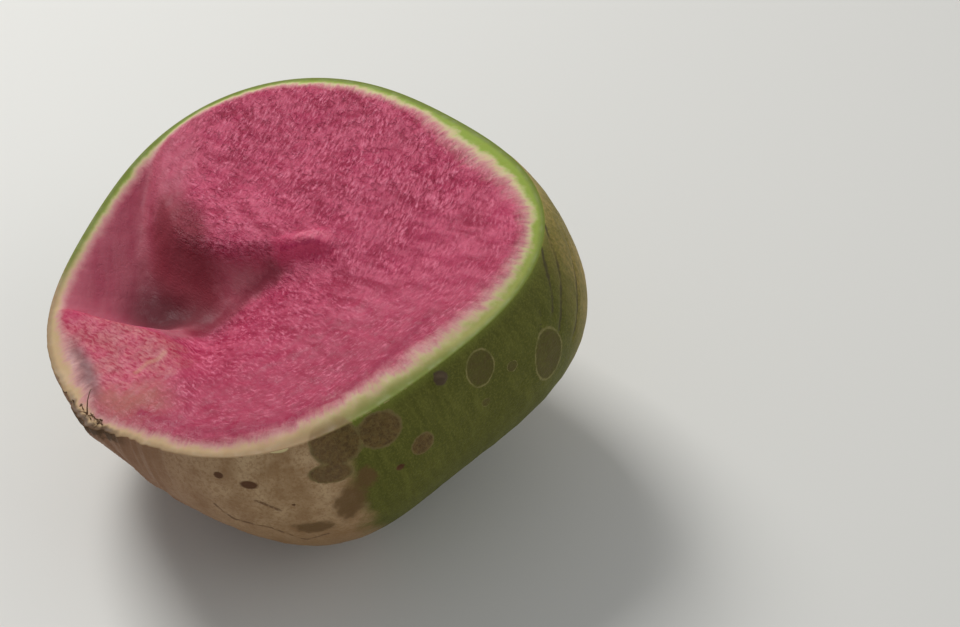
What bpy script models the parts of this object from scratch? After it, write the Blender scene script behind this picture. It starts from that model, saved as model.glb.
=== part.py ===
"""A watermelon radish cut in two lengthwise: the half root, as one solid.

The cut face is laid out in its own frame, with its first axis from the root
towards the crown, its second across, and its third out of the face. The half
lies on the small flat spot under its weight, with the crown end raised.
"""

import math

import bmesh
import bpy
from mathutils import Matrix, Vector

# Pose of the cut face over the surface that the half rests on
FACE_CENTRE = (-0.0037, 0.0006, 0.0516)
FACE_TURN = 21.3
FACE_TILT = 13.6

# Outline of the cut face: a mean radius, and waves of (count, height, direction)
FACE_RADIUS = 0.0495
RIM_WAVES = ((2, 0.015, 85.0), (3, 0.049, -32.0), (4, 0.023, -16.0), (5, 0.010, -36.0))

# Skin below the rim: depth, swell past the rim as shares of the radius, and the underside's lean
BODY_DEPTH = 0.0538
SWELL = 0.46
SWELL_MORE = 0.21
SWELL_DIRECTION = -89.0
UNDERSIDE_PULL = -0.19
UNDERSIDE_LEAN = (0.0039, -0.0024)

# Flattened sides of the skin, each as (direction, loss of swell)
FLAT_SIDES = ((-71.0, 0.24), (-152.0, 0.40))
FLAT_SPAN = 24.0

# Low swells all over the skin: height, and how many round and down
SKIN_WAVE_HEIGHT = 0.0006
SKIN_WAVES_ROUND = 7
SKIN_WAVES_DOWN = 5

# Broken root stub on the rim, and the dimple where the leaves grew, with angles in degrees
ROOT_DIRECTION = -155.0
ROOT_RISE = 0.0020
ROOT_SPAN = 5.0
CROWN_DIRECTION = 15.0
CROWN_DOWN = 26.0
CROWN_DIMPLE = 0.0022
CROWN_RADIUS = 0.0080
CROWN_FROM_RIM = 16.0

# Dried cut face: a shallow dish inside a firm rim
DISH_DEPTH = 0.0058
RIM_BAND = 0.0060
RIM_DROP = 0.0008
RIM_ROUNDING = 0.0020

# Floor of the pit at the root side, deepest at its centre and rising along and across
PIT_CENTRE = (-0.027, 0.013)
PIT_DEPTH = 0.0175
PIT_DIRECTION = -20.0
PIT_LENGTH = 0.0140
PIT_WIDTH = 0.0155

# Slopes of the pit's walls, how softly each one starts, and how sharply two of them meet
RIM_WALL_SLOPE = 1.25
RIDGE_WALL_SLOPE = 1.55
TONGUE_WALL_SLOPE = 1.90
WALL_EASE = 0.0042
MEETING_POWER = 3.0

# Ridge over the pit: an arc that fills a share of the dish, with a gentle back and a steep front
RIDGE_CENTRE = (0.013, 0.031)
RIDGE_RADIUS = 0.0302
RIDGE_SHARE = 0.80
RIDGE_BACK = 0.0190
RIDGE_FRONT = 0.0030

# Where the ridge's front opens out, past the angle of its lip, and where its back fades away
LIP_ANGLE = 258.0
PAST_LIP_SPAN = 18.0
RIDGE_FRONT_PAST_LIP = 0.0150
FACE_MIDDLE = (0.0, 0.0)
SHELF_DIRECTION = -20.0
SHELF_END = -0.0060
SHELF_FADE = 0.0320

# Raised lip at the end of the ridge
LIP_CENTRE = (0.0080, 0.0022)
LIP_DIRECTION = -32.0
LIP_HEIGHT = 0.0034
LIP_LENGTH = 0.0045
LIP_WIDTH = 0.0026

# Tongue of flesh at the root end, whose straight edge over the pit runs out at its reach
TONGUE_EDGE = (-0.0456, 0.0096)
TONGUE_DIRECTION = -43.5
TONGUE_RISE = 0.0014
TONGUE_CREST_WIDTH = 0.0045
TONGUE_LENGTH = 0.018
TONGUE_REACH = 0.0110
TONGUE_OPENING = 0.0400

# Mesh of each side: cells along a square grid, and where the grid's middle lies on the face
GRID_STEPS = 53
GRID_HUB = (-0.009, 0.007)
MERGE_DISTANCE = 1e-6

FLESH_COLOUR = (0.52, 0.05, 0.15, 1.0)
FLESH_ROUGHNESS = 0.45
SKIN_COLOUR = (0.24, 0.26, 0.06, 1.0)
SKIN_ROUGHNESS = 0.55


def smooth_step(value):
    """Rises smoothly from 0 at 0 to 1 at 1."""
    value = min(max(value, 0.0), 1.0)
    return value * value * (3.0 - 2.0 * value)


def bell(distance):
    """Falls from 1 at 0 like a bell curve of unit width."""
    return math.exp(-0.5 * distance * distance)


def turn_between(angle, direction):
    """Degrees from a direction in degrees to an angle in radians, from -180 to 180."""
    return (math.degrees(angle) - direction + 180.0) % 360.0 - 180.0


def root_rise(angle):
    """Height of the root stub past the rest of the rim."""
    return ROOT_RISE * bell(turn_between(angle, ROOT_DIRECTION) / ROOT_SPAN)


def rim_radius(angle):
    """Distance from the middle of the cut face to its rim."""
    waves = (height * math.cos(count * (angle - math.radians(direction)))
             for count, height, direction in RIM_WAVES)
    return FACE_RADIUS * (1.0 + sum(waves)) + root_rise(angle)


def disc_place(x, y):
    """Turns a place on a square grid from -1 to 1 into (share of the radius, angle)."""
    if x == 0.0 and y == 0.0:
        return 0.0, 0.0
    if abs(x) > abs(y):
        turn = 0.0 if x > 0.0 else math.pi
        return abs(x), turn + math.pi / 4.0 * y / x
    turn = math.pi / 2.0 if y > 0.0 else 1.5 * math.pi
    return abs(y), turn - math.pi / 4.0 * x / y


def turned(x, y, centre, direction):
    """A place's distances from a centre, along a direction and across it."""
    turn = math.radians(direction)
    dx = x - centre[0]
    dy = y - centre[1]
    return dx * math.cos(turn) + dy * math.sin(turn), dy * math.cos(turn) - dx * math.sin(turn)


def ridge_place(x, y):
    """Distance out past the ridge's arc, and the angle along it."""
    across = x - RIDGE_CENTRE[0]
    along = y - RIDGE_CENTRE[1]
    angle = math.degrees(math.atan2(along, across)) % 360.0
    return math.hypot(across, along) - RIDGE_RADIUS, angle


def ridge_front(angle):
    """How far the ridge's front slopes out, steep up to the lip and open past it."""
    open_share = smooth_step((angle - LIP_ANGLE) / PAST_LIP_SPAN)
    return RIDGE_FRONT + (RIDGE_FRONT_PAST_LIP - RIDGE_FRONT) * open_share


def ridge_share(x, y):
    """How much of the dish's depth the ridge fills, from 0 to 1."""
    past, angle = ridge_place(x, y)
    reach = turned(x, y, FACE_MIDDLE, SHELF_DIRECTION)[0]
    left = 1.0 - smooth_step((reach - SHELF_END) / SHELF_FADE)
    width = RIDGE_BACK if past < 0.0 else ridge_front(angle)
    return RIDGE_SHARE * left * bell(past / width)


def lip_rise(x, y):
    """Height of the raised lip at the end of the ridge."""
    along, across = turned(x, y, LIP_CENTRE, LIP_DIRECTION)
    return LIP_HEIGHT * bell(along / LIP_LENGTH) * bell(across / LIP_WIDTH)


def tongue_rise(x, y):
    """Height of the tongue's raised edge over the dish."""
    along, past = turned(x, y, TONGUE_EDGE, TONGUE_DIRECTION)
    return TONGUE_RISE * bell(past / TONGUE_CREST_WIDTH) * bell(along / TONGUE_LENGTH)


def past_tongue(x, y):
    """Distance from the tongue's edge towards the pit, growing where the tongue runs out."""
    along, past = turned(x, y, TONGUE_EDGE, TONGUE_DIRECTION)
    beyond = max(along - TONGUE_REACH, 0.0)
    return past + beyond * beyond / TONGUE_OPENING


def wall_drop(distance, slope):
    """Depth under a wall's top edge, at a distance in from that edge."""
    distance = max(distance, MERGE_DISTANCE)
    return slope * distance * distance / (distance + WALL_EASE)


def pit_drop(x, y, from_rim):
    """Depth of the pit under the dish: the least of its floor's and its three walls'."""
    along, across = turned(x, y, PIT_CENTRE, PIT_DIRECTION)
    spread = bell(max(along, 0.0) / PIT_LENGTH) * bell(min(across, 0.0) / PIT_WIDTH)
    drops = (max(PIT_DEPTH * spread, MERGE_DISTANCE),
             wall_drop(from_rim, RIM_WALL_SLOPE),
             wall_drop(ridge_place(x, y)[0], RIDGE_WALL_SLOPE),
             wall_drop(past_tongue(x, y), TONGUE_WALL_SLOPE))
    return sum(drop ** -MEETING_POWER for drop in drops) ** (-1.0 / MEETING_POWER)


def face_height(x, y):
    """Height of the dried cut face over the plane of its cut."""
    rim = rim_radius(math.atan2(y, x))
    out = math.hypot(x, y) / rim
    from_rim = max(rim - math.hypot(x, y), 0.0)
    dish = DISH_DEPTH * (1.0 - out * out) * (1.0 - ridge_share(x, y))
    rises = smooth_step(from_rim / RIM_BAND) * (tongue_rise(x, y) + lip_rise(x, y))
    return rises - dish - pit_drop(x, y, from_rim) - RIM_DROP * bell(from_rim / RIM_ROUNDING)


def face_point(share, angle):
    """A place on the dried cut face, on a line from the grid's hub to the rim."""
    x = GRID_HUB[0] + share * (rim_radius(angle) * math.cos(angle) - GRID_HUB[0])
    y = GRID_HUB[1] + share * (rim_radius(angle) * math.sin(angle) - GRID_HUB[1])
    return Vector((x, y, face_height(x, y)))


def skin_point(share, angle):
    """A place on the skin, from the rim at 1 down to the underside at 0."""
    down = (1.0 - share) * math.pi / 2.0
    swell = SWELL + SWELL_MORE * math.cos(angle - math.radians(SWELL_DIRECTION))
    swell -= sum(loss * bell(turn_between(angle, direction) / FLAT_SPAN)
                 for direction, loss in FLAT_SIDES)
    low = math.sin(down)
    reach = math.cos(down) * (1.0 + swell * low + UNDERSIDE_PULL * low * low)
    wave = math.sin(SKIN_WAVES_ROUND * angle) * math.sin(SKIN_WAVES_DOWN * down) * math.cos(down)
    radius = (rim_radius(angle) - root_rise(angle)) * reach + SKIN_WAVE_HEIGHT * wave
    radius += root_rise(angle) * bell(math.degrees(down) / ROOT_SPAN)
    from_crown = math.hypot(turn_between(angle, CROWN_DIRECTION), math.degrees(down) - CROWN_DOWN)
    dimple = bell(math.radians(from_crown) * FACE_RADIUS / CROWN_RADIUS)
    radius -= CROWN_DIMPLE * dimple * smooth_step(math.degrees(down) / CROWN_FROM_RIM)
    x = radius * math.cos(angle) + UNDERSIDE_LEAN[0] * low * low
    y = radius * math.sin(angle) + UNDERSIDE_LEAN[1] * low * low
    return Vector((x, y, -RIM_DROP - (BODY_DEPTH - RIM_DROP) * low))


def face_frame():
    """The place of the cut face's frame over the resting surface."""
    turn = Matrix.Rotation(math.radians(FACE_TURN), 4, "Z")
    tilt = Matrix.Rotation(math.radians(-FACE_TILT), 4, "Y")
    return Matrix.Translation(FACE_CENTRE) @ turn @ tilt


def add_sheet(mesh, place, material_index):
    """Adds a square grid and lays it over a disc by a placing function."""
    made = bmesh.ops.create_grid(mesh, x_segments=GRID_STEPS, y_segments=GRID_STEPS, size=1.0)
    for vertex in made["verts"]:
        vertex.co = place(*disc_place(vertex.co.x, vertex.co.y))
    faces = {face for vertex in made["verts"] for face in vertex.link_faces}
    for face in faces:
        face.material_index = material_index
        face.smooth = True
    return list(faces)


def build_mesh():
    """Joins the cut face and the skin at the rim, and presses the resting spot flat."""
    mesh = bmesh.new()
    add_sheet(mesh, face_point, 0)
    skin = add_sheet(mesh, skin_point, 1)
    bmesh.ops.reverse_faces(mesh, faces=skin)
    bmesh.ops.remove_doubles(mesh, verts=mesh.verts, dist=MERGE_DISTANCE)
    bmesh.ops.transform(mesh, matrix=face_frame(), verts=mesh.verts)
    for vertex in mesh.verts:
        vertex.co.z = max(vertex.co.z, 0.0)
    bmesh.ops.recalc_face_normals(mesh, faces=mesh.faces)
    return mesh


def plain_material(name, colour, roughness):
    """A plain finish for one side of the half."""
    material = bpy.data.materials.new(name)
    material.use_nodes = True
    shader = material.node_tree.nodes["Principled BSDF"]
    shader.inputs["Base Color"].default_value = colour
    shader.inputs["Roughness"].default_value = roughness
    shader.inputs["Metallic"].default_value = 0.0
    return material


def main():
    for old in list(bpy.data.objects):
        bpy.data.objects.remove(old, do_unlink=True)
    data = bpy.data.meshes.new("radish_half")
    mesh = build_mesh()
    mesh.to_mesh(data)
    mesh.free()
    data.materials.append(plain_material("flesh", FLESH_COLOUR, FLESH_ROUGHNESS))
    data.materials.append(plain_material("skin", SKIN_COLOUR, SKIN_ROUGHNESS))
    half = bpy.data.objects.new("radish_half", data)
    bpy.context.scene.collection.objects.link(half)


main()
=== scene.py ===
"""A watermelon radish cut in two lengthwise: the finished look of the half root.

The half is one closed sheet of fine cells. Its dried cut face and its skin are
shaped by the solid's own forms, and the creases of the flesh, the corky marks
of the skin and the fibres of the broken root are added to them here.
"""

import logging
import math
from dataclasses import dataclass, field
from enum import Enum
from functools import cached_property
from typing import NamedTuple

import bpy
import numpy as np
from mathutils import Matrix, Vector, noise


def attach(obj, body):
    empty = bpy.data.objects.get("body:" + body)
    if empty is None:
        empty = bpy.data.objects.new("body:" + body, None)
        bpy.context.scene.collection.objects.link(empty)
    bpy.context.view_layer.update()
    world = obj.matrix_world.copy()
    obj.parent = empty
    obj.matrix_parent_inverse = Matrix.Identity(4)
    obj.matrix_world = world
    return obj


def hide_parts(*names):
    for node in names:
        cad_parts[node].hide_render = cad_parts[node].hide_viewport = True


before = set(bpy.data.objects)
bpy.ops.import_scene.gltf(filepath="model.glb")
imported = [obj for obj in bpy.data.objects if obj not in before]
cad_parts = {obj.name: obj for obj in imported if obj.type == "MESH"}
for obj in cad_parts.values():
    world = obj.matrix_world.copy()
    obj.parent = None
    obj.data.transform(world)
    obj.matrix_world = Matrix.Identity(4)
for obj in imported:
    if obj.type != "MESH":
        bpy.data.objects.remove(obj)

log = logging.getLogger("radish")

MM = 0.001
TINY = 1e-6

# Pose of the cut face over the surface that the half rests on
FACE_CENTRE = (-0.0037, 0.0006, 0.0516)
FACE_TURN = 21.3
FACE_TILT = 13.6

Array = np.ndarray
Socket = bpy.types.NodeSocket
Place = tuple[float, float]
Point = tuple[float, float, float]
Colour = tuple[float, float, float]


def smooth_step(value: Array) -> Array:
    """Rises smoothly from 0 at 0 to 1 at 1."""
    value = np.clip(value, 0.0, 1.0)
    return value * value * (3.0 - 2.0 * value)


def bell(distance: Array) -> Array:
    """Falls from 1 at 0 like a bell curve of unit width."""
    return np.exp(-0.5 * distance * distance)


def turn_between(angle: Array, direction: float) -> Array:
    """Degrees from a direction in degrees to an angle in radians, from -180 to 180."""
    return (np.degrees(angle) - direction + 180.0) % 360.0 - 180.0


def turned(x: Array, y: Array, centre: Place, direction: float) -> tuple[Array, Array]:
    """Measures places along a direction in degrees and across it, from a centre."""
    turn = math.radians(direction)
    dx, dy = x - centre[0], y - centre[1]
    return dx * math.cos(turn) + dy * math.sin(turn), dy * math.cos(turn) - dx * math.sin(turn)


def lumps(points: Array, size: float, seed: float, octaves: int = 3) -> Array:
    """Gives rounded noise, from about -1 to 1, at each point.

    Args:
        points: the places, one row each.
        size: the width of the largest lumps.
        seed: a number that picks the pattern.
        octaves: how many finer layers the lumps have.

    Returns:
        One value for each place.
    """
    shift = Vector((seed, -seed, 2.0 * seed))
    values = (noise.fractal(Vector(point) / size + shift, 0.7, 2.0, octaves) for point in points)
    return np.fromiter(values, float, len(points))


def by_direction(angle: Array, table: tuple[Place, ...]) -> Array:
    """Reads a table of (direction in degrees, value) all round the face."""
    directions, values = zip(*table)
    return np.interp(np.degrees(angle) % 360.0, directions, values, period=360.0)


def line_distance(points: Array, line: tuple[Point, ...]) -> Array:
    """Gives the distance from each place to a line of straight steps, in the places' unit."""
    least = np.full(len(points), np.inf)
    for start, end in zip(line, line[1:]):
        start, step = np.array(start), np.array(end) - np.array(start)
        share = np.clip((points - start) @ step / (step @ step), 0.0, 1.0)
        least = np.minimum(least, np.linalg.norm(points - start - share[:, None] * step, axis=1))
    return least


def face_matrix() -> Matrix:
    """Gives the place of the cut face's frame over the resting surface."""
    turn = Matrix.Rotation(math.radians(FACE_TURN), 4, "Z")
    tilt = Matrix.Rotation(math.radians(-FACE_TILT), 4, "Y")
    return Matrix.Translation(FACE_CENTRE) @ turn @ tilt


def to_world(points: Array) -> Array:
    """Moves places from the cut face's frame to the resting surface's."""
    return points @ np.array(face_matrix().to_3x3()).T + np.array(FACE_CENTRE)


@dataclass(frozen=True)
class Oval:
    """An oval area of the cut face: its middle, its half sizes and its turn in degrees."""

    middle: Place
    half: Place
    turn: float = 0.0

    def measure(self, x: Array, y: Array) -> tuple[Array, Array]:
        """Measures places along the oval and across it, from its middle."""
        return turned(x, y, self.middle, self.turn)

    def spread(self, x: Array, y: Array) -> Array:
        """Gives each place's distance from the middle as a share of the half sizes."""
        along, across = self.measure(x, y)
        return np.hypot(along / self.half[0], across / self.half[1])


@dataclass(frozen=True)
class Rim:
    """The outline of the cut face and how its edge is worn round."""

    radius: float = 0.0495
    waves: tuple = ((2, 0.015, 85.0), (3, 0.049, -32.0), (4, 0.023, -16.0), (5, 0.010, -36.0))
    root_direction: float = -155.0
    root_rise: float = 0.0020
    root_span: float = 5.0
    drop: float = 0.0008
    rounding: float = 0.0020
    ragged_height: float = 0.00025
    ragged_span: float = 14.0
    ragged_waves: tuple = ((1.0, 0.9, 0.0), (0.7, 2.1, 1.0), (0.5, 3.7, 0.0))
    worn_drop: float = 0.0015
    worn_width: float = 0.0026
    worn_direction: float = -38.0
    band_widths: tuple = (
        (0.0, 8.6), (11.0, 7.4), (27.0, 4.8), (41.0, 4.0), (55.0, 4.0), (63.0, 3.9), (72.0, 3.3),
        (81.0, 2.9), (92.0, 2.8), (110.0, 2.9), (163.0, 2.9), (171.0, 3.2), (181.0, 5.4),
        (190.0, 5.0), (202.0, 3.9), (214.0, 3.2), (230.0, 3.5), (238.0, 3.6), (246.0, 4.6),
        (252.0, 5.5), (259.0, 6.8), (268.0, 7.9), (278.0, 7.2), (296.0, 6.2), (312.0, 6.0),
        (325.0, 5.4), (331.0, 4.7), (338.0, 5.1), (346.0, 6.8))
    edge_widths: tuple = (
        (0.0, 1.1), (238.0, 1.1), (252.0, 2.0), (260.0, 2.7), (276.0, 2.8), (290.0, 2.0),
        (302.0, 1.2))
    greens: tuple = (
        (0.0, 1.0), (120.0, 1.0), (138.0, 0.85), (152.0, 0.35), (165.0, 0.08), (190.0, 0.0),
        (252.0, 0.0), (262.0, 0.22), (276.0, 0.42), (300.0, 0.62), (325.0, 0.9), (340.0, 1.0))

    def ragged(self, angle: Array) -> Array:
        """Gives how far the torn rim near the root stands in or out."""
        away = turn_between(angle, self.root_direction)
        waves = sum(high * np.sin(away * pace + start) for high, pace, start in self.ragged_waves)
        return self.ragged_height * waves * bell(away / self.ragged_span)

    def stub(self, angle: Array) -> Array:
        """Gives the height of the root stub past the rest of the rim."""
        return self.root_rise * bell(turn_between(angle, self.root_direction) / self.root_span)

    def reach(self, angle: Array) -> Array:
        """Gives the distance from the middle of the cut face to its rim."""
        waves = sum(height * np.cos(count * (angle - math.radians(direction)))
                    for count, height, direction in self.waves)
        return self.radius * (1.0 + waves) + self.stub(angle) + self.ragged(angle)

    def worn(self, angle: Array) -> Array:
        """Gives how far the edge is worn down, most towards one side."""
        return self.worn_drop * (0.5 + 0.5 * np.cos(angle - math.radians(self.worn_direction)))


@dataclass(frozen=True)
class CutFace:
    """The dried cut face: its dish, pit, ridge, lip and tongue."""

    rim: Rim = Rim()
    hub: Place = (-0.009, 0.007)
    dish_depth: float = 0.0058
    rim_band: float = 0.0060
    pit: Oval = Oval((-0.027, 0.013), (0.0140, 0.0155), -20.0)
    pit_depth: float = 0.0196
    rim_slope: float = 1.25
    wall_ease: float = 0.0042
    ridge_slope: float = 1.55
    ridge_ease: float = 0.0062
    tongue_slope: float = 2.10
    tongue_ease: float = 0.0009
    tongue_far_slope: float = 0.42
    tongue_end_slope: float = 1.35
    tongue_gentle: Place = (0.012, 0.011)
    tongue_side: Place = (0.0005, 0.0080)
    meeting_power: float = 2.2
    ridge_centre: Place = (0.013, 0.031)
    ridge_radius: float = 0.0302
    corner_reach: float = 0.0022
    corner_turns: Place = (201.0, 15.0)
    ridge_fill: float = 0.80
    ridge_back: float = 0.0190
    ridge_front: float = 0.0030
    front_past_lip: float = 0.0150
    past_lip: Place = (258.0, 18.0)
    shoulder_drop: float = 0.0005
    shoulder_from: float = -0.0045
    shoulder_span: float = 0.0065
    shoulder_end: float = 0.012
    shoulder_turns: Place = (222.0, 40.0)
    shoulder_back: Place = (120.0, 30.0)
    shelf_direction: float = -20.0
    shelf_end: float = -0.0060
    shelf_fade: float = 0.0320
    lip: Oval = Oval((0.0058, 0.0), (0.0031, 0.0025), -4.0)
    lip_height: float = 0.0016
    nose: Oval = Oval((0.0058, -0.0006), (0.0024, 0.0008), -18.0)
    nose_rise: float = 0.0005
    # Painted light: the top of the lip's nose, which only the finish reads
    nose_light_top: Oval = Oval((0.00614, 0.000446), (0.0024, 0.0008), -18.0)
    groove: Oval = Oval((0.005213, -0.002407), (0.0036, 0.0008), -18.0)
    groove_depth: float = 0.0005
    tongue_edge: Oval = Oval((-0.0456, 0.0096), (0.018, 0.0045), -43.5)
    tongue_rise: float = 0.0014
    tongue_reach: float = 0.0165
    tongue_opening: float = 0.0280
    swell_height: float = 0.00030
    swell_size: float = 0.011
    wrinkle_height: float = 0.00016
    wrinkle_size: float = 0.0021
    wrinkle_loss: float = 0.65
    smooth_depth: float = 0.006

    # Areas and lines that only the finish reads, the lines in mm
    tongue: Oval = Oval((-0.0405, -0.0020), (0.0195, 0.0125), -43.5)
    tongue_top: Oval = Oval((-0.0435, 0.0065), (0.003, 0.003))
    # Painted shade: the dark hollow under the ridge's wall
    hollow_shade: Oval = Oval((-0.0205, 0.0150), (0.0165, 0.0085), -98.0)
    bruise: Oval = Oval((-0.0452, -0.0085), (0.0085, 0.0027), -84.0)
    tan: Oval = Oval((-0.0385, -0.0182), (0.0105, 0.0062), -62.0)
    junction_span: float = 0.45
    walls: tuple = ((0.0, 0.0), (84.0, 0.0), (104.0, 0.50), (122.0, 0.85), (140.0, 1.0),
                    (172.0, 1.0), (186.0, 0.0))
    wall_starts: Place = (-0.0012, 0.0040)
    wall_end: Place = (-0.0008, 0.0016)
    shelf_corner: Place = (-0.0171, 0.0203)
    shelf_side: float = -117.9
    valley: Place = (-0.0196, 0.0005)
    valley_turn: float = 35.5
    torn_edge: tuple = ((-35.4, -13.6, 0.0), (-33.0, -12.4, 0.0), (-30.6, -12.2, 0.0),
                        (-29.2, -11.2, 0.0))
    ring: tuple = ((-36.8, -25.1, 0.0), (-33.7, -29.2, 0.0), (-27.5, -35.5, 0.0),
                   (-20.9, -40.2, 0.0), (-12.7, -42.0, 0.0), (-3.9, -42.0, 0.0),
                   (4.6, -40.0, 0.0), (11.5, -36.7, 0.0), (18.8, -32.5, 0.0))
    lip_edge: tuple = ((-0.6, 2.0, 0.0), (0.6, 1.5, 0.0), (3.4, 0.3, 0.0), (6.7, -1.1, 0.0),
                       (7.7, -0.4, 0.0))
    # Painted shade: a soft dark line along the valley's crease, in mm
    crease: tuple = ((-0.6, 0.3, 0.0), (-1.9, 0.6, 0.0), (-5.4, 0.9, 0.0), (-9.4, 1.4, 0.0),
                     (-12.7, 1.4, 0.0), (-16.2, 1.1, 0.0), (-19.6, 0.5, 0.0), (-22.5, -1.8, 0.0))

    def ridge_place(self, x: Array, y: Array) -> tuple[Array, Array]:
        """Gives the distance out past the ridge's arc, and the angle along it in degrees."""
        across = x - self.ridge_centre[0]
        along = y - self.ridge_centre[1]
        angle = np.degrees(np.arctan2(along, across)) % 360.0
        corner = self.corner_reach * bell((angle - self.corner_turns[0]) / self.corner_turns[1])
        return np.hypot(across, along) - self.ridge_radius - corner, angle

    def ridge_share(self, x: Array, y: Array) -> Array:
        """Gives how much of the dish's depth the ridge fills, from 0 to 1."""
        past, angle = self.ridge_place(x, y)
        open_share = smooth_step((angle - self.past_lip[0]) / self.past_lip[1])
        front = self.ridge_front + (self.front_past_lip - self.ridge_front) * open_share
        reach = turned(x, y, (0.0, 0.0), self.shelf_direction)[0]
        left = 1.0 - smooth_step((reach - self.shelf_end) / self.shelf_fade)
        return self.ridge_fill * left * bell(past / np.where(past < 0.0, self.ridge_back, front))

    def shoulder(self, x: Array, y: Array) -> Array:
        """Gives how far the ridge's rounded shoulder falls off towards the wall."""
        past, angle = self.ridge_place(x, y)
        side = 1.0 - smooth_step((angle - self.shoulder_turns[0]) / self.shoulder_turns[1])
        fall = smooth_step((past - self.shoulder_from) / self.shoulder_span)
        back = smooth_step((angle - self.shoulder_back[0]) / self.shoulder_back[1])
        left = 1.0 - smooth_step(past / self.shoulder_end)
        return self.shoulder_drop * fall * side * back * left

    def rises(self, x: Array, y: Array) -> Array:
        """Gives the height of the raised lip and of the tongue's edge."""
        return (self.lip_height * bell(self.lip.spread(x, y))
                + self.nose_rise * bell(self.nose.spread(x, y))
                - self.groove_depth * bell(self.groove.spread(x, y))
                + self.tongue_rise * bell(self.tongue_edge.spread(x, y)))

    def wall_drop(self, distance: Array, slope: float | Array, ease: float | Array) -> Array:
        """Gives the depth under a wall's top edge, at a distance in from that edge."""
        distance = np.maximum(distance, TINY)
        return slope * distance * distance / (distance + ease)

    def rim_drop(self, from_rim: Array) -> Array:
        """Gives the depth of the wall under the rim."""
        return self.wall_drop(from_rim, self.rim_slope, self.wall_ease)

    def ridge_drop(self, x: Array, y: Array) -> Array:
        """Gives the depth of the wall under the ridge."""
        return self.wall_drop(self.ridge_place(x, y)[0], self.ridge_slope, self.ridge_ease)

    def tongue_drop(self, x: Array, y: Array) -> Array:
        """Gives the depth under the tongue's edge, sharp along it and gentle at its end."""
        along, past = self.tongue_edge.measure(x, y)
        gentle = smooth_step((along - self.tongue_gentle[0]) / self.tongue_gentle[1])
        outer = gentle * smooth_step((self.tongue_side[0] - past) / self.tongue_side[1])
        slope = self.tongue_slope + (self.tongue_end_slope - self.tongue_slope) * gentle
        slope += (self.tongue_far_slope - slope) * outer
        ease = self.tongue_ease + (self.wall_ease - self.tongue_ease) * gentle
        past = past + np.maximum(along - self.tongue_reach, 0.0) ** 2 / self.tongue_opening
        return self.wall_drop(past, slope, ease)

    def pit_drop(self, x: Array, y: Array, from_rim: Array) -> Array:
        """Gives the depth of the pit under the dish: the least of its floor's and its walls'."""
        along, across = self.pit.measure(x, y)
        length = bell(np.maximum(along, 0.0) / self.pit.half[0])
        width = bell(np.minimum(across, 0.0) / self.pit.half[1])
        drops = (np.maximum(self.pit_depth * length * width, TINY), self.rim_drop(from_rim),
                 self.ridge_drop(x, y), self.tongue_drop(x, y))
        return sum(drop ** -self.meeting_power for drop in drops) ** (-1.0 / self.meeting_power)

    def height(self, x: Array, y: Array) -> Array:
        """Gives the height of the cut face over the plane of its cut."""
        angle = np.arctan2(y, x)
        rim = self.rim.reach(angle)
        out = np.hypot(x, y)
        from_rim = np.maximum(rim - out, 0.0)
        dish = self.dish_depth * (1.0 - (out / rim) ** 2) * (1.0 - self.ridge_share(x, y))
        inside = smooth_step(from_rim / self.rim_band)
        edge = self.rim.drop * bell(from_rim / self.rim.rounding)
        worn = self.rim.worn(angle) * bell(from_rim / self.rim.worn_width)
        pit = self.pit_drop(x, y, from_rim)
        flat = np.column_stack((x, y, np.zeros_like(x)))
        rough = 1.0 - self.wrinkle_loss * smooth_step(pit / self.smooth_depth)
        fine = self.swell_height * lumps(flat, self.swell_size, 3.0)
        fine += self.wrinkle_height * rough * lumps(flat, self.wrinkle_size, 7.0)
        return inside * (self.rises(x, y) + fine - self.shoulder(x, y)) - dish - pit - edge - worn

    def points(self, share: Array, angle: Array) -> Array:
        """Lays the grid's places over the cut face.

        Args:
            share: how far each place lies from the grid's hub to the rim.
            angle: the direction of each place.

        Returns:
            One row of three coordinates for each place, in the face's frame.
        """
        rim = self.rim.reach(angle)
        x = self.hub[0] + share * (rim * np.cos(angle) - self.hub[0])
        y = self.hub[1] + share * (rim * np.sin(angle) - self.hub[1])
        return np.column_stack((x, y, self.height(x, y)))

    def fields(self, points: Array) -> dict[str, Array]:
        """Measures what the finish reads.

        Args:
            points: places in the face's frame.

        Returns:
            Distances in mm and shares, by name.
        """
        x, y = points[:, 0], points[:, 1]
        angle = np.arctan2(y, x)
        from_rim = np.maximum(self.rim.reach(angle) - np.hypot(x, y), 0.0)
        edge = self.tongue_edge.measure(x, y)[1]
        shelf = -turned(x, y, self.shelf_corner, self.shelf_side)[1]
        started = smooth_step((shelf - self.wall_starts[0]) / self.wall_starts[1])
        ended = smooth_step((edge - self.wall_end[0]) / self.wall_end[1])
        far_side = turned(x, y, self.valley, self.valley_turn)[1]
        meeting = np.log(self.rim_drop(from_rim) / self.ridge_drop(x, y))
        flat = np.column_stack((x, y, np.zeros_like(x))) / MM
        ovals = {"tongue": self.tongue, "tongue_top": self.tongue_top, "hollow_shade": self.hollow_shade,
                 "bruise": self.bruise, "nose": self.nose_light_top, "tan": self.tan}
        lines = {"lip_mm": self.lip_edge, "crease_shade_mm": self.crease, "ring_mm": self.ring,
                 "torn_mm": self.torn_edge}
        return {
            "rim_mm": from_rim / MM,
            "band": from_rim / MM / by_direction(angle, self.rim.band_widths),
            "over": from_rim / MM / by_direction(angle, self.rim.edge_widths),
            "green": by_direction(angle, self.rim.greens),
            "pit_mm": self.pit_drop(x, y, from_rim) / MM,
            "sunken_mm": np.maximum(y - self.valley[1], far_side) / MM,
            "tongue_mm": -edge / MM,
            "junction": bell(meeting / self.junction_span),
            "wall": by_direction(angle, self.walls) * started * ended,
            "root_turn": np.abs(turn_between(angle, self.rim.root_direction)),
            **{name: oval.spread(x, y) for name, oval in ovals.items()},
            **{name: line_distance(flat, line) for name, line in lines.items()},
        }


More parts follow.
